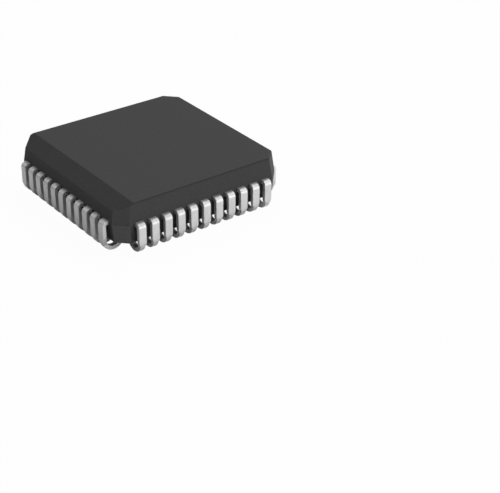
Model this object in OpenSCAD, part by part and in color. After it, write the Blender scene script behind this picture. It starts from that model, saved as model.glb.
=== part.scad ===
// Plastic leaded chip carrier with J leads on all four sides, standing on its leads.
// Origin: centre of the square on the board, +Z up, millimetres.
// The bevelled side, with lead 1 at its middle, faces -X. Leads count on anticlockwise seen from above.

/* [Lead rows] */
// Leads on each of the four sides, an odd number so that one is in the middle
leads_per_side = 11; // [5:2:17]
// Distance from one lead to the next
lead_pitch = 1.27; // [1.2:0.01:1.5]
// Distance from the middle of the last lead in a row to the body's side round the corner
row_margin = 1.905; // [1.8:0.005:2.5]

/* [Leads] */
// Thickness of the lead frame's metal
metal = 0.36; // [0.2:0.01:0.4]
// Width of a lead's upright part
lead_width = 0.72; // [0.6:0.01:0.85]
// Width of a lead's curled foot
foot_width = 0.48; // [0.33:0.01:0.55]
// Flat length of a lead between the body's side and the shoulder bend
shoulder_flat = 0.16; // [0.05:0.01:0.3]
// Inside radius of the shoulder bend
shoulder_radius = 0.05; // [0.03:0.01:0.25]
// Outside radius of the curl that rests on the board
curl_radius = 1.05; // [0.9:0.01:1.2]
// Height of a lead's narrow foot above the board
foot_height = 0.71; // [0.4:0.01:0.9]
// Height over which a lead narrows to its foot
taper_height = 0.34; // [0.2:0.01:0.6]
// Gap between the tip of the curl and the underside of the body
tip_gap = 0.06; // [0.03:0.01:0.15]

/* [Body] */
// Height of the body's underside above the board
standoff = 0.92; // [0.7:0.01:1.1]
// Height of the lower half of the moulding, from the underside to the parting line
lower_height = 1.73; // [1.5:0.01:2.2]
// Height of the upper half of the moulding, from the parting line to the top
upper_height = 1.92; // [1.5:0.01:2.2]
// Draft angle of the side walls, and of everything below the parting line
draft = 5; // [2:0.5:8]
// Draft angle of the corner chamfers above the parting line
corner_draft = 9; // [4:0.5:10]
// Draft angle of the bevelled side above the parting line
bevel_draft = 10; // [4:0.5:12]
// Length of each corner chamfer along a side, at the parting line
corner_chamfer = 1.04; // [0.9:0.01:1.3]
// How far the bevel of the lead 1 side runs in from that side
bevel_run = 1.4; // [0.8:0.01:1.8]
// How far the same bevel drops below the top
bevel_drop = 0.77; // [0.3:0.01:0.9]
// Radius of the moulding's edges, apart from the parting line and the bevel, which are sharp
edge_radius = 0.2; // [0.05:0.01:0.3]

/* [Lead frame inside] */
// Depth inside the body over which a lead keeps its full width
root_depth = 0.25; // [0.15:0.01:0.4]
// Depth inside the body at which the fingers start to fan in
fan_depth = 0.65; // [0.5:0.01:0.9]
// Length of the fanned part of a finger, measured square to the side
finger_length = 3.45; // [2:0.05:3.8]
// Width of a finger where the fan starts
finger_width = 0.4; // [0.3:0.01:0.5]
// Width of a finger at its tip
tip_width = 0.3; // [0.2:0.01:0.36]
// Distance from the last finger tip of a row to the line of tips round the corner
tip_margin = 0.85; // [0.7:0.01:1.1]
// Gap between the finger tips and the die paddle
paddle_gap = 0.35; // [0.25:0.01:0.5]
// Width of the four tie bars that held the paddle while the body was moulded
tie_width = 0.4; // [0.25:0.01:0.5]
// Cover of mould compound over the ends of the tie bars
tie_cover = 0.4; // [0.2:0.01:0.8]

/* [Die and bond wires] */
// Margin of the paddle round the die
die_margin = 1; // [0.6:0.05:1.4]
// Thickness of the silicon die
die_thickness = 0.36; // [0.25:0.01:0.5]
// Thickness of the adhesive under the die
attach_thickness = 0.03; // [0.02:0.01:0.06]
// Distance of the bond pads from the die's edge
pad_inset = 0.15; // [0.1:0.01:0.25]
// Distance from the last bond pad of a row to the die's edge round the corner
pad_margin = 0.7; // [0.4:0.05:1]
// Thickness of a bond wire
wire = 0.05; // [0.03:0.005:0.06]
// Height of a wire's arch over the straight line between its ends
wire_rise = 0.35; // [0.25:0.01:0.5]
// Distance of a wire's far end from the finger's tip
stitch_inset = 0.3; // [0.2:0.01:0.5]

/* [Hidden] */
$fn = 64;

side_count = 4;
lead_count = side_count * leads_per_side;
middle_place = (leads_per_side - 1) / 2;
row_half = middle_place * lead_pitch;

// Body: half sizes at the parting line across the walls, the chamfers and the edges between them
body_half = row_half + row_margin;
facet_half = (2 * body_half - corner_chamfer) / sqrt(2);
edge_turn = 45 / 2;
edge_spread = 1 / cos(edge_turn);
edge_half = body_half * cos(edge_turn) + (body_half - corner_chamfer) * sin(edge_turn)
    - edge_radius * (edge_spread - 1);
edge_steps = 3;

// How far each wall leans in: over the lower half, over the upper half, and up to the bevel
lower_lean = lower_height * tan(draft);
upper_lean = upper_height * tan(draft);
corner_lean = upper_height * tan(corner_draft);
side_lean = upper_height * tan(bevel_draft);
bevel_lean = (upper_height - bevel_drop) * tan(bevel_draft);
underside_z = standoff;
parting_z = underside_z + lower_height;
top_z = parting_z + upper_height;
through = 4 * body_half;

// Lead frame: one sheet, centred on the parting line
sheet_low = parting_z - metal / 2;
sheet_high = parting_z + metal / 2;

// Leads: the outer face, the shoulder bend and the curl
bend_start = body_half + shoulder_flat;
bend_radius = shoulder_radius + metal;
lead_face = bend_start + bend_radius;
bend_z = sheet_high - bend_radius;
curl_x = lead_face - curl_radius;
curl_inner = curl_radius - metal;
tip_angle = asin((curl_radius - standoff + tip_gap) / curl_inner);
curl_sweep = 180 - tip_angle;
curl_steps = 4;
taper_low = foot_height;
taper_high = foot_height + taper_height;

// Fingers, paddle, die and pads, each inside the one before
fan_x = body_half - fan_depth;
tip_x = fan_x - finger_length;
tip_pitch = (tip_x - tip_margin) / middle_place;
paddle_half = tip_x - paddle_gap;
die_half = paddle_half - die_margin;
attach_top = sheet_high + attach_thickness;
die_top = attach_top + die_thickness;
pad_x = die_half - pad_inset;
pad_pitch = (die_half - pad_margin) / middle_place;
stitch_x = tip_x + stitch_inset;
fan_share = stitch_inset / finger_length;

mould_colour = [0.28, 0.28, 0.29];
tin_colour = [0.76, 0.76, 0.77];
copper_colour = [0.72, 0.45, 0.3];
silicon_colour = [0.36, 0.38, 0.44];
adhesive_colour = [0.8, 0.8, 0.78];
gold_colour = [0.86, 0.68, 0.26];

function lead_name(number) = str("lead_", number < 10 ? "0" : "", number);
// Place 0 is the clockwise end of a row, and lead 1 is in the middle of the bevelled side.
function lead_slot(number) = (number - 1 + middle_place) % lead_count;
function lead_side(number) = floor(lead_slot(number) / leads_per_side);
function lead_place(number) = lead_slot(number) % leads_per_side;
function side_angle(side) = 180 + 90 * side;

// A side outline, drawn in X and Z, run right through the body
module run_through() {
    rotate([90, 0, 0]) linear_extrude(height = through, center = true) children();
}

// Points of an outline's corner b, after a and before c, each given as x, z and radius
function corner_points(a, b, c) =
    let (
        from = atan2(a.x - b.x, b.y - a.y),
        to = atan2(b.x - c.x, c.y - b.y),
        turn = (to - from + 360) % 360,
        middle = from + turn / 2,
        centre = [b.x, b.y] - b.z / cos(turn / 2) * [cos(middle), sin(middle)]
    )
    b.z == 0 ? [[b.x, b.y]] :
    [for (step = [0 : edge_steps])
        centre + b.z * [cos(from + turn * step / edge_steps), sin(from + turn * step / edge_steps)]];

// An outline from its corners, listed anticlockwise
module outline(corners) {
    count = len(corners);
    polygon([for (i = [0 : count - 1])
        each corner_points(corners[(i + count - 1) % count], corners[i], corners[(i + 1) % count])]);
}

// Lean of the upright edge between a wall and a corner chamfer, for the wall's own lean
function edge_lean(wall_lean) = edge_spread * (wall_lean + corner_lean) / 2;

// Outline between two drafted walls that are this far from the middle at the parting line
module wall_outline(half, lower, right, left) {
    outline([
        [lower - half, underside_z, edge_radius],
        [half - lower, underside_z, edge_radius],
        [half, parting_z, 0],
        [half - right, top_z, edge_radius],
        [left - half, top_z, edge_radius],
        [-half, parting_z, 0],
    ]);
}

// Outline through two upright edges, beside walls with these leans
module edge_outline(right, left) {
    wall_outline(edge_half, edge_spread * lower_lean, edge_lean(right), edge_lean(left));
}

// The outline across the lead 1 side and the one opposite, with the lead 1 side's bevel
module bevelled_outline() {
    outline([
        [lower_lean - body_half, underside_z, edge_radius],
        [body_half - lower_lean, underside_z, edge_radius],
        [body_half, parting_z, 0],
        [body_half - upper_lean, top_z, edge_radius],
        [bevel_lean + bevel_run - body_half, top_z, 0],
        [bevel_lean - body_half, top_z - bevel_drop, 0],
        [-body_half, parting_z, 0],
    ]);
}

// The outside of the moulding: where the outlines across walls, chamfers and upright edges meet
module body_block() {
    intersection() {
        run_through() bevelled_outline();
        rotate([0, 0, 90]) run_through() wall_outline(body_half, lower_lean, upper_lean, upper_lean);
        intersection_for (angle = [45, 135])
            rotate([0, 0, angle]) run_through() wall_outline(facet_half, lower_lean, corner_lean, corner_lean);
        intersection_for (angle = [90 - edge_turn, 90 + edge_turn])
            rotate([0, 0, angle]) run_through() edge_outline(upper_lean, upper_lean);
        rotate([0, 0, edge_turn]) run_through() edge_outline(upper_lean, side_lean);
        rotate([0, 0, -edge_turn]) run_through() edge_outline(upper_lean, side_lean);
    }
}

// The part of a lead that the body holds, out to the shoulder bend, for a side that faces +X
module lead_finger(place) {
    row_y = (place - middle_place) * lead_pitch;
    tip_y = (place - middle_place) * tip_pitch;
    root_x = body_half - root_depth;
    translate([0, 0, sheet_low]) linear_extrude(height = metal) polygon([
        [bend_start, row_y - lead_width / 2],
        [bend_start, row_y + lead_width / 2],
        [root_x, row_y + lead_width / 2],
        [fan_x, row_y + finger_width / 2],
        [tip_x, tip_y + tip_width / 2],
        [tip_x, tip_y - tip_width / 2],
        [fan_x, row_y - finger_width / 2],
        [root_x, row_y - lead_width / 2],
    ]);
}

// Shoulder bend, upright part and curl, drawn in X and Z at the sheet's thickness
module curl_outline() {
    translate([bend_start, bend_z]) intersection() {
        difference() {
            circle(r = bend_radius);
            circle(r = shoulder_radius);
        }
        square(bend_radius);
    }
    translate([lead_face - metal, curl_radius]) square([metal, bend_z - curl_radius]);
    translate([curl_x, curl_radius]) intersection() {
        difference() {
            circle(r = curl_radius);
            circle(r = curl_inner);
        }
        polygon(concat(
            [[0, 0]],
            [for (step = [0 : curl_steps])
                2 * curl_radius * [cos(step * curl_sweep / curl_steps), -sin(step * curl_sweep / curl_steps)]]
        ));
    }
}

// Front of a lead, drawn in Y and Z: wide above, narrow at the foot
module front_outline() {
    polygon([
        [-foot_width / 2, 0],
        [foot_width / 2, 0],
        [foot_width / 2, taper_low],
        [lead_width / 2, taper_high],
        [lead_width / 2, sheet_high],
        [-lead_width / 2, sheet_high],
        [-lead_width / 2, taper_high],
        [-foot_width / 2, taper_low],
    ]);
}

// The part of a lead outside the body, for a side that faces +X: narrow from the foot to the curl's tip
module lead_curl(place) {
    translate([0, (place - middle_place) * lead_pitch, 0]) intersection() {
        rotate([90, 0, 0]) linear_extrude(height = lead_width, center = true) curl_outline();
        union() {
            translate([curl_x, 0, 0]) rotate([90, 0, 90]) linear_extrude(height = through) front_outline();
            translate([0, -foot_width / 2, 0]) cube([curl_x, foot_width, standoff]);
        }
    }
}

module lead(number) {
    color(tin_colour) rotate([0, 0, side_angle(lead_side(number))]) {
        lead_finger(lead_place(number));
        lead_curl(lead_place(number));
    }
}

// Paddle with its four tie bars, cut from the same sheet as the leads
module die_paddle() {
    color(copper_colour) translate([0, 0, sheet_low]) linear_extrude(height = metal) {
        square(2 * paddle_half, center = true);
        for (corner = [45 : 90 : 315])
            rotate(corner) translate([0, -tie_width / 2])
                square([facet_half - tie_cover, tie_width]);
    }
}

module die_attach() {
    color(adhesive_colour) translate([0, 0, sheet_high]) linear_extrude(height = attach_thickness)
        square(2 * die_half, center = true);
}

module silicon_die() {
    color(silicon_colour) translate([0, 0, attach_top]) linear_extrude(height = die_thickness)
        square(2 * die_half, center = true);
}

// Arched wire from a bond pad to its finger, for a side that faces +X. Its ends can run on below
// their seats.
module bond_wire(place, run_on = 0) {
    from = [pad_x, (place - middle_place) * pad_pitch];
    tip_y = (place - middle_place) * tip_pitch;
    row_y = (place - middle_place) * lead_pitch;
    to = [stitch_x, tip_y + (row_y - tip_y) * fan_share];
    reach = norm(to - from);
    fall = die_top - sheet_high;
    chord = norm([reach, fall]);
    arch = (chord * chord / 4 + wire_rise * wire_rise) / (2 * wire_rise);
    up = [fall, reach] / chord;
    centre = [reach / 2, sheet_high + fall / 2] - (arch - wire_rise) * up;
    heading = atan2(to.y - from.y, to.x - from.x);
    translate([from.x, from.y, 0]) rotate([0, 0, heading]) rotate([90, 0, 0])
        linear_extrude(height = wire, center = true) intersection() {
            translate(centre) difference() {
                circle(r = arch + wire / 2);
                circle(r = arch - wire / 2);
            }
            polygon([
                [-reach, die_top - run_on],
                [reach / 2, die_top - run_on],
                [reach / 2, sheet_high - run_on],
                [2 * reach, sheet_high - run_on],
                [2 * reach, top_z],
                [-reach, top_z],
            ]);
        }
}

module bond_wires(run_on = 0) {
    color(gold_colour) for (side = [0 : side_count - 1])
        rotate([0, 0, side_angle(side)])
            for (place = [0 : leads_per_side - 1]) bond_wire(place, run_on);
}

// The moulding, cast round everything that it holds. The wires are cut once the frame has its room,
// and their room runs on into that of the die and the fingers.
module moulded_body() {
    color(mould_colour) difference() {
        difference() {
            body_block();
            for (side = [0 : side_count - 1])
                rotate([0, 0, side_angle(side)])
                    for (place = [0 : leads_per_side - 1]) lead_finger(place);
            die_paddle();
            die_attach();
            silicon_die();
        }
        bond_wires(run_on = wire);
    }
}

moulded_body();
die_paddle();
die_attach();
silicon_die();
bond_wires();
for (number = [1 : lead_count])
    lead(number);
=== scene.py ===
"""Looks of a square plastic leaded chip carrier with J leads on all four sides."""

import math

import bpy
from mathutils import Matrix, Vector


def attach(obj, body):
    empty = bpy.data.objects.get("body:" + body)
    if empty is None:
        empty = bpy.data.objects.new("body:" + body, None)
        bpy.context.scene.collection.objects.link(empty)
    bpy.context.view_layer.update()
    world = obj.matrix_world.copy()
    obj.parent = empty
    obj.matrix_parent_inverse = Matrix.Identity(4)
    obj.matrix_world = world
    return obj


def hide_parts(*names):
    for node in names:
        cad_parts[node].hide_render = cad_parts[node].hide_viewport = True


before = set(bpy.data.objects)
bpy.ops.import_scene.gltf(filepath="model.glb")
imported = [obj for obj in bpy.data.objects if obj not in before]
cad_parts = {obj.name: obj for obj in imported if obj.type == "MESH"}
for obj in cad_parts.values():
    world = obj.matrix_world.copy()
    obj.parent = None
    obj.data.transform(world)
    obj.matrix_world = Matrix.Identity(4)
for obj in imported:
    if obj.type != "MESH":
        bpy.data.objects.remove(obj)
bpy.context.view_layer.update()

MM = 0.001

# Camera, fitted to the photograph's 500 x 493 frame
IMAGE_WIDTH = 500
FOCAL_PIXELS = 1347.4
SENSOR_WIDTH = 36.0
CAMERA_EYE = (-56.469, -88.602, 55.468)
CAMERA_AZIMUTH = 37.364
CAMERA_ELEVATION = 30.180
CAMERA_ROLL = 0.569
CLIP_NEAR = 0.001
CLIP_FAR = 20.0

# Lead rows, in millimetres
LEADS_PER_SIDE = 11
LEAD_COUNT = 4 * LEADS_PER_SIDE
MIDDLE_PLACE = (LEADS_PER_SIDE - 1) / 2
LEAD_PITCH = 1.27
BODY_HALF = 8.255
STANDOFF = 0.92

# Lead strip, in millimetres: from its middle height in the body, over the shoulder, down and round
METAL = 0.36
SHEET_Z = 2.65
LEAD_WIDTH = 0.72
FOOT_WIDTH = 0.48
SHOULDER_FLAT = 0.16
SHOULDER_RADIUS = 0.05
BEND_X = BODY_HALF + SHOULDER_FLAT
LEAD_FACE = BEND_X + SHOULDER_RADIUS + METAL
CURL_RADIUS = 1.05
TIP_GAP = 0.06
TAPER_LOW = 0.71
TAPER_HEIGHT = 0.34
TAPER_HIGH = TAPER_LOW + TAPER_HEIGHT
TAPER_SLOPE = (LEAD_WIDTH - FOOT_WIDTH) / 2 / TAPER_HEIGHT
TIP_ANGLE = math.degrees(math.asin((CURL_RADIUS - STANDOFF + TIP_GAP) / (CURL_RADIUS - METAL)))
CURL_SWEEP = 180.0 - TIP_ANGLE
EDGE_RADIUS = 0.05
TIP_ROUNDING = 0.04

# Finger of a lead inside the body, in millimetres
ROOT_DEPTH = 0.25
FAN_DEPTH = 0.65
FINGER_LENGTH = 3.45
FINGER_WIDTH = 0.4
FINGER_TIP_WIDTH = 0.3
TIP_MARGIN = 0.85
ROOT_X = BODY_HALF - ROOT_DEPTH
FAN_X = BODY_HALF - FAN_DEPTH
FINGER_TIP_X = FAN_X - FINGER_LENGTH
TIP_PITCH = (FINGER_TIP_X - TIP_MARGIN) / MIDDLE_PLACE

# Soft lights, in metres, with name, azimuth and elevation in degrees, and power in watts
LIGHT_DISTANCE = 0.62
LIGHT_SIZE = 0.40
LIGHTS = (
    ("key", -15.0, 45.0, 1.38),
    ("front", -70.0, 4.0, 2.60),
    ("back", 45.0, 48.0, 1.23),
    ("side", 135.0, 45.0, 0.80),
)

# Floor's half width in metres, and the plain white of floor and world to the camera and in reflections
FLOOR_HALF = 3.0
WHITE_TO_CAMERA = 0.97
WHITE_TO_MIRRORS = 0.02

# Painted light and shade of the moulding, set by the height of each face's normal and darkest on the
# rounded edges of the top:
# tones, each with the height of the face's normal that it belongs to: underside, walls, corner facets above
# the parting line, bevelled side, rounded edges, bevel and top
MOULD_PAINTED_SHADING = (
    (-0.200, 0.600),
    (-0.120, 0.500),
    (0.110, 0.500),
    (0.130, 0.420),
    (0.162, 0.420),
    (0.170, 0.550),
    (0.190, 0.550),
    (0.400, 0.355),
    (0.800, 0.355),
    (0.860, 0.600),
)

# Painted light from the floor below on the corner facets: how much lighter they are than their tone, and
# the product of the level parts of their normal
FACET_PAINTED_LIGHT = 1.75
FACET_PRODUCT = 0.48

# Scales of the surface noise, in cycles per metre
MOULD_SPECKS = 9000.0
MOULD_CLOUDS = 350.0
MOULD_FINE = 14000.0
MOULD_COARSE = 2500.0
TIN_GRAIN = 12000.0
TIN_PATCHES = 900.0
INNER_TONE = 1500.0
INNER_GRAIN = 8000.0

# Range that noise mostly fills, the share of the clouds in the moulding's colour, and bump depths in metres
NOISE_LOW = 0.3
NOISE_HIGH = 0.7
CLOUD_SHARE = 0.35
SHALLOW = 0.00001
MIDDLING = 0.00002
DEEP = 0.00004

# Mesh steps
CORNER_STEPS = 4
BEND_STEPS = 8
UPRIGHT_STEPS = 4
CURL_STEPS = 36


def new_material(name):
    """A node material with its shader."""
    material = bpy.data.materials.new(name)
    material.use_nodes = True
    return material, material.node_tree, material.node_tree.nodes["Principled BSDF"]


def add_node(tree, kind, **values):
    """A node with some of its inputs set."""
    node = tree.nodes.new(kind)
    for key, value in values.items():
        node.inputs[key].default_value = value
    return node


def noise(tree, vector, scale, detail=2.0, roughness=0.5):
    """Noise over a vector, as a value from 0 to 1."""
    node = add_node(tree, "ShaderNodeTexNoise", Scale=scale, Detail=detail, Roughness=roughness)
    tree.links.new(vector, node.inputs["Vector"])
    return node.outputs["Fac"]


def remap(tree, value, low, high, to_low, to_high):
    """A value moved from one range to another."""
    node = tree.nodes.new("ShaderNodeMapRange")
    for index, number in enumerate((low, high, to_low, to_high)):
        node.inputs[index + 1].default_value = number
    tree.links.new(value, node.inputs[0])
    return node.outputs[0]


def ramp(tree, value, stops):
    """A colour ramp over a value, with stops of place and colour."""
    node = tree.nodes.new("ShaderNodeValToRGB")
    elements = node.color_ramp.elements
    while len(elements) < len(stops):
        elements.new(0.5)
    for element, (place, colour) in zip(elements, stops):
        element.position = place
        element.color = (*colour, 1.0)
    tree.links.new(value, node.inputs["Fac"])
    return node.outputs["Color"]


def bump(tree, height, strength, distance, below=None):
    """A bump from a height, on top of another normal if one is given."""
    node = add_node(tree, "ShaderNodeBump", Strength=strength, Distance=distance)
    tree.links.new(height, node.inputs["Height"])
    if below is not None:
        tree.links.new(below, node.inputs["Normal"])
    return node.outputs["Normal"]


def object_place(tree):
    """The surface point in the part's own frame, in metres."""
    return tree.nodes.new("ShaderNodeTexCoord").outputs["Object"]


def own_normal(tree):
    """The three parts of the surface's normal in the part's own frame."""
    node = tree.nodes.new("ShaderNodeSeparateXYZ")
    tree.links.new(tree.nodes.new("ShaderNodeTexCoord").outputs["Normal"], node.inputs[0])
    return node.outputs


def reckon(tree, operation, *values):
    """A number worked out from others, each of them a node's output or plain."""
    node = tree.nodes.new("ShaderNodeMath")
    node.operation = operation
    for socket, value in zip(node.inputs, values):
        if isinstance(value, float):
            socket.default_value = value
        else:
            tree.links.new(value, socket)
    return node.outputs[0]


def times(tree, first, second):
    """Two colours multiplied."""
    node = tree.nodes.new("ShaderNodeVectorMath")
    node.operation = "MULTIPLY"
    tree.links.new(first, node.inputs[0])
    tree.links.new(second, node.inputs[1])
    return node.outputs[0]


def mould_material():
    """Filled epoxy: dark grey, matte, with fine filler specks and the mould's spark-eroded texture.

    Each face is also toned by which way it faces, as painted light and shade: the corner facets carry
    painted light from the floor below, and the rounded edges of the top carry painted shade.
    """
    material, tree, shader = new_material("mould_compound")
    place = object_place(tree)
    specks = noise(tree, place, MOULD_SPECKS, 3.0, 0.6)
    clouds = noise(tree, place, MOULD_CLOUDS)
    colour = ramp(tree, reckon(tree, "MULTIPLY_ADD", clouds, CLOUD_SHARE, specks), [
        (0.40, (0.108, 0.108, 0.109)),
        (0.68, (0.131, 0.131, 0.133)),
        (0.95, (0.160, 0.160, 0.163)),
    ])
    across, along, up = own_normal(tree)
    # Painted light and shade: the colour is made lighter or darker by how far each face looks up
    tone = ramp(tree, remap(tree, up, -1.0, 1.0, 0.0, 1.0), [
        ((lean + 1.0) / 2.0, (level, level, level)) for lean, level in MOULD_PAINTED_SHADING
    ])
    # Painted light: the corner facets, found by their normal, are made lighter
    product = reckon(tree, "ABSOLUTE", reckon(tree, "MULTIPLY", across, along))
    lift = remap(tree, product, 0.0, FACET_PRODUCT, 1.0, FACET_PAINTED_LIGHT)
    tree.links.new(times(tree, times(tree, colour, tone), lift), shader.inputs["Base Color"])
    tree.links.new(remap(tree, clouds, NOISE_LOW, NOISE_HIGH, 0.62, 0.74), shader.inputs["Roughness"])
    shader.inputs["Specular IOR Level"].default_value = 0.15
    fine = bump(tree, noise(tree, place, MOULD_FINE), 0.16, MIDDLING)
    coarse = bump(tree, noise(tree, place, MOULD_COARSE, 3.0), 0.08, DEEP, fine)
    tree.links.new(coarse, shader.inputs["Normal"])
    return material


def tin_material():
    """Matt tin plate: satin grey metal with a fine grain and faint rolling lines along each lead."""
    material, tree, shader = new_material("tinned_lead")
    place = object_place(tree)
    along = tree.nodes.new("ShaderNodeUVMap")
    along.uv_map = "along"
    stretch = add_node(tree, "ShaderNodeMapping", Scale=(1.2, 60.0, 1.0))
    tree.links.new(along.outputs["UV"], stretch.inputs["Vector"])
    lines = noise(tree, stretch.outputs["Vector"], 1.0, 3.0, 0.6)
    grain = noise(tree, place, TIN_GRAIN)
    patches = noise(tree, place, TIN_PATCHES)
    colour = ramp(tree, patches, [
        (NOISE_LOW, (0.77, 0.77, 0.775)),
        (NOISE_HIGH, (0.86, 0.86, 0.865)),
    ])
    tree.links.new(colour, shader.inputs["Base Color"])
    shader.inputs["Metallic"].default_value = 1.0
    tree.links.new(remap(tree, grain, NOISE_LOW, NOISE_HIGH, 0.54, 0.62), shader.inputs["Roughness"])
    rolled = bump(tree, lines, 0.06, MIDDLING)
    tree.links.new(bump(tree, grain, 0.10, SHALLOW, rolled), shader.inputs["Normal"])
    return material


def inner_metal(name, dark, light, rough_low, rough_high):
    """Bare metal of a piece inside the moulding, with rolled tone changes."""
    material, tree, shader = new_material(name)
    place = object_place(tree)
    tone = noise(tree, place, INNER_TONE, 3.0)
    colour = ramp(tree, tone, [(NOISE_LOW, dark), (NOISE_HIGH, light)])
    tree.links.new(colour, shader.inputs["Base Color"])
    shader.inputs["Metallic"].default_value = 1.0
    roughness = remap(tree, tone, NOISE_LOW, NOISE_HIGH, rough_low, rough_high)
    tree.links.new(roughness, shader.inputs["Roughness"])
    grain = bump(tree, noise(tree, place, INNER_GRAIN), 0.08, SHALLOW)
    tree.links.new(grain, shader.inputs["Normal"])
    return material


def inner_solid(name, dark, light, rough_low, rough_high, scale):
    """A non-metal piece inside the moulding, with a mottled tone."""
    material, tree, shader = new_material(name)
    place = object_place(tree)
    tone = noise(tree, place, scale, 3.0)
    colour = ramp(tree, tone, [(NOISE_LOW, dark), (NOISE_HIGH, light)])
    tree.links.new(colour, shader.inputs["Base Color"])
    roughness = remap(tree, tone, NOISE_LOW, NOISE_HIGH, rough_low, rough_high)
    tree.links.new(roughness, shader.inputs["Roughness"])
    return material


def width_at(z):
    """Width of a lead at a height between its shoulder and its foot."""
    share = min(max((z - TAPER_LOW) / TAPER_HEIGHT, 0.0), 1.0)
    return FOOT_WIDTH + (LEAD_WIDTH - FOOT_WIDTH) * share


def lead_stations(place):
    """Stations along a lead from finger tip to curl tip: x, y, z, angle of the outer normal, width.

    Where the width is None, each point takes it from its own height.
    """
    row_y = (place - MIDDLE_PLACE) * LEAD_PITCH
    tip_y = (place - MIDDLE_PLACE) * TIP_PITCH
    stations = [
        (FINGER_TIP_X, tip_y, SHEET_Z, 90.0, FINGER_TIP_WIDTH),
        (FAN_X, row_y, SHEET_Z, 90.0, FINGER_WIDTH),
        (ROOT_X, row_y, SHEET_Z, 90.0, LEAD_WIDTH),
    ]
    bend_mid = SHOULDER_RADIUS + METAL / 2
    bend_z = SHEET_Z - bend_mid
    for step in range(BEND_STEPS + 1):
        angle = 90.0 * (1 - step / BEND_STEPS)
        turn = math.radians(angle)
        x = BEND_X + bend_mid * math.cos(turn)
        stations.append((x, row_y, bend_z + bend_mid * math.sin(turn), angle, LEAD_WIDTH))
    upright_x = LEAD_FACE - METAL / 2
    for step in range(1, UPRIGHT_STEPS):
        z = bend_z + (CURL_RADIUS - bend_z) * step / UPRIGHT_STEPS
        stations.append((upright_x, row_y, z, 0.0, LEAD_WIDTH))
    curl_mid = CURL_RADIUS - METAL / 2
    curl_x = LEAD_FACE - CURL_RADIUS
    for step in range(CURL_STEPS + 1):
        angle = -CURL_SWEEP * step / CURL_STEPS
        turn = math.radians(angle)
        z = CURL_RADIUS + curl_mid * math.sin(turn)
        width = FOOT_WIDTH if angle < -90.0 else None
        stations.append((curl_x + curl_mid * math.cos(turn), row_y, z, angle, width))
    return stations


def section(inset):
    """Rounded section of the strip: side, distance in from it, height, and the normal's two parts."""
    radius = EDGE_RADIUS - inset
    half_out = METAL / 2 - inset - radius
    points = []
    for quarter, (side, out) in enumerate(((1, 1), (-1, 1), (-1, -1), (1, -1))):
        for step in range(CORNER_STEPS + 1):
            turn = math.radians(90.0 * (quarter + step / CORNER_STEPS))
            across, up = math.cos(turn), math.sin(turn)
            inward = inset + radius - radius * abs(across)
            points.append((side, inward, out * half_out + radius * up, across, up))
    return points


def lead_mesh(name, side, place):
    """A lead swept along its stations, with rounded stamped edges and a rounded curl tip."""
    stations = lead_stations(place)
    rings = [(station, 0.0, 0.0, 0.0) for station in stations[:-1]]
    end = stations[-1]
    for turn in (0.0, 45.0, 90.0):
        lean = math.radians(turn)
        rings.append((end, TIP_ROUNDING * (1 - math.sin(lean)), TIP_ROUNDING * (1 - math.cos(lean)), lean))
    spin = Matrix.Rotation(math.radians(180 + 90 * side), 3, "Z")
    vertices, normals, lengths, across_list = [], [], [], []
    length = 0.0
    last = None
    for (x, y, z, angle, width), back, inset, lean in rings:
        turn = math.radians(angle)
        out = Vector((math.cos(turn), 0.0, math.sin(turn)))
        forward = Vector((math.sin(turn), 0.0, -math.cos(turn)))
        centre = Vector((x, y, z)) - forward * back
        length += (centre - last).length if last is not None else 0.0
        last = centre
        for hand, inward, up, normal_across, normal_up in section(inset):
            point = centre + out * up
            tapers = width is None and TAPER_LOW < point.z < TAPER_HIGH
            across = hand * ((width_at(point.z) if width is None else width) / 2 - inward)
            point.y += across
            flat = Vector((0.0, normal_across, 0.0)) + out * normal_up
            flat.z -= TAPER_SLOPE * abs(normal_across) if tapers else 0.0
            normal = flat.normalized() * math.cos(lean) + forward * math.sin(lean)
            vertices.append(spin @ point * MM)
            normals.append(spin @ normal)
            lengths.append(length)
            across_list.append(across + up)
    count = len(section(0.0))
    faces = []
    for ring in range(len(rings) - 1):
        for step in range(count):
            a = ring * count + step
            b = ring * count + (step + 1) % count
            faces.append((a, b, b + count, a + count))
    faces.append(tuple(reversed(range(count))))
    faces.append(tuple(range((len(rings) - 1) * count, len(rings) * count)))
    mesh = bpy.data.meshes.new(name)
    mesh.from_pydata(vertices, [], faces)
    layer = mesh.uv_layers.new(name="along")
    for loop in mesh.loops:
        layer.data[loop.index].uv = (lengths[loop.vertex_index], across_list[loop.vertex_index])
    mesh.polygons.foreach_set("use_smooth", [True] * len(mesh.polygons))
    mesh.normals_split_custom_set_from_vertices(normals)
    mesh.update()
    return mesh


def lead_place(number):
    """Side and place of a lead, counted anticlockwise from the middle of the bevelled side."""
    slot = (number - 1 + int(MIDDLE_PLACE)) % LEAD_COUNT
    return slot // LEADS_PER_SIDE, slot % LEADS_PER_SIDE


def add_leads(material):
    """One swept lead in place of each plain one."""
    for number in range(1, LEAD_COUNT + 1):
        node = f"lead_{number:02d}"
        side, place = lead_place(number)
        piece = bpy.data.objects.new(f"j_{node}", lead_mesh(f"j_{node}", side, place))
        bpy.context.scene.collection.objects.link(piece)
        piece.data.materials.append(material)
        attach(piece, "root")
        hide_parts(node)


def paint(node, material):
    """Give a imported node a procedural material."""
    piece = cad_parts[node]
    piece.data.materials.clear()
    piece.data.materials.append(material)


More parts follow.
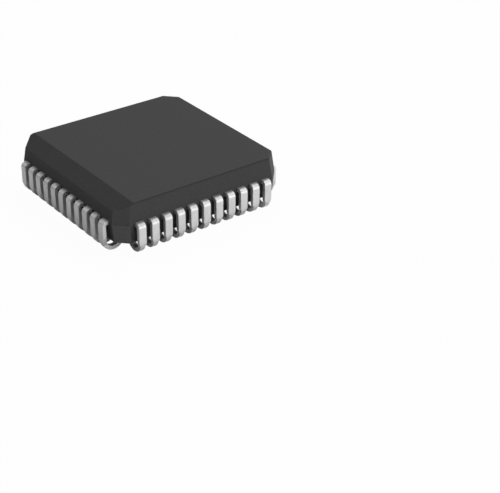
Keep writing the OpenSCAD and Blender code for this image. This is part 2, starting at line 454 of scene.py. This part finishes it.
def add_camera():
    """The camera at the photograph's place, with no shift and no depth of field."""
    data = bpy.data.cameras.new("camera")
    data.sensor_fit = "HORIZONTAL"
    data.sensor_width = SENSOR_WIDTH
    data.lens = FOCAL_PIXELS / IMAGE_WIDTH * SENSOR_WIDTH
    data.clip_start = CLIP_NEAR
    data.clip_end = CLIP_FAR
    camera = bpy.data.objects.new("camera", data)
    bpy.context.scene.collection.objects.link(camera)
    azimuth, elevation, roll = (math.radians(a) for a in (CAMERA_AZIMUTH, CAMERA_ELEVATION, CAMERA_ROLL))
    forward = Vector((
        math.cos(elevation) * math.sin(azimuth),
        math.cos(elevation) * math.cos(azimuth),
        -math.sin(elevation),
    ))
    level = Vector((math.cos(azimuth), -math.sin(azimuth), 0.0))
    above = level.cross(forward)
    right = level * math.cos(roll) + above * math.sin(roll)
    up = right.cross(forward)
    turn = Matrix((right, up, -forward)).transposed()
    camera.matrix_world = Matrix.Translation(Vector(CAMERA_EYE) * MM) @ turn.to_4x4()
    bpy.context.scene.camera = camera


def add_area(name, azimuth, elevation, power):
    """A soft square light in a direction from the part, in degrees, turned to it."""
    data = bpy.data.lights.new(name, "AREA")
    data.shape = "SQUARE"
    data.size = LIGHT_SIZE
    data.energy = power
    light = bpy.data.objects.new(name, data)
    bpy.context.scene.collection.objects.link(light)
    turn, lift = math.radians(azimuth), math.radians(elevation)
    level = math.cos(lift)
    direction = Vector((level * math.cos(turn), level * math.sin(turn), math.sin(lift)))
    light.location = direction * LIGHT_DISTANCE
    light.rotation_euler = direction.to_track_quat("Z", "Y").to_euler()


def seen_white(tree):
    """Level of the white background for rays from the camera and for reflected and refracted ones."""
    path = tree.nodes.new("ShaderNodeLightPath").outputs
    bounced = reckon(tree, "MAXIMUM", path["Is Glossy Ray"], path["Is Transmission Ray"])
    mirrored = reckon(tree, "MULTIPLY", bounced, WHITE_TO_MIRRORS)
    return reckon(tree, "MULTIPLY_ADD", path["Is Camera Ray"], WHITE_TO_CAMERA, mirrored)


def add_floor():
    """A plain white floor that shows white behind the part and still takes its soft shadow."""
    corners = [(x * FLOOR_HALF, y * FLOOR_HALF, 0.0) for x, y in ((-1, -1), (1, -1), (1, 1), (-1, 1))]
    mesh = bpy.data.meshes.new("floor")
    mesh.from_pydata(corners, [], [(0, 1, 2, 3)])
    floor = bpy.data.objects.new("floor", mesh)
    bpy.context.scene.collection.objects.link(floor)
    material = bpy.data.materials.new("floor")
    material.use_nodes = True
    tree = material.node_tree
    tree.nodes.clear()
    output = tree.nodes.new("ShaderNodeOutputMaterial")
    matte = add_node(tree, "ShaderNodeBsdfDiffuse", Color=(0.95, 0.95, 0.95, 1.0))
    glow = add_node(tree, "ShaderNodeEmission", Color=(1.0, 1.0, 1.0, 1.0), Strength=1.0)
    mix = tree.nodes.new("ShaderNodeMixShader")
    tree.links.new(seen_white(tree), mix.inputs["Fac"])
    tree.links.new(matte.outputs[0], mix.inputs[1])
    tree.links.new(glow.outputs[0], mix.inputs[2])
    tree.links.new(mix.outputs[0], output.inputs["Surface"])
    mesh.materials.append(material)


def set_world():
    """White behind the part, for the camera and in reflections."""
    world = bpy.data.worlds.new("studio")
    bpy.context.scene.world = world
    world.use_nodes = True
    tree = world.node_tree
    background = tree.nodes["Background"]
    background.inputs["Color"].default_value = (1.0, 1.0, 1.0, 1.0)
    tree.links.new(seen_white(tree), background.inputs["Strength"])


add_camera()
add_floor()
set_world()
for light in LIGHTS:
    add_area(*light)
add_leads(tin_material())
paint("moulded_body", mould_material())
paint("die_paddle", inner_metal("copper_frame", (0.62, 0.30, 0.17), (0.78, 0.42, 0.26), 0.30, 0.42))
paint("bond_wires", inner_metal("gold_wire", (0.80, 0.56, 0.16), (0.92, 0.68, 0.26), 0.18, 0.26))
paint("silicon_die", inner_solid("silicon", (0.08, 0.09, 0.13), (0.13, 0.14, 0.19), 0.12, 0.22, 2500.0))
paint("die_attach", inner_solid("die_adhesive", (0.50, 0.50, 0.48), (0.66, 0.66, 0.63), 0.45, 0.6, 3000.0))

bpy.context.scene.view_settings.view_transform = "Standard"
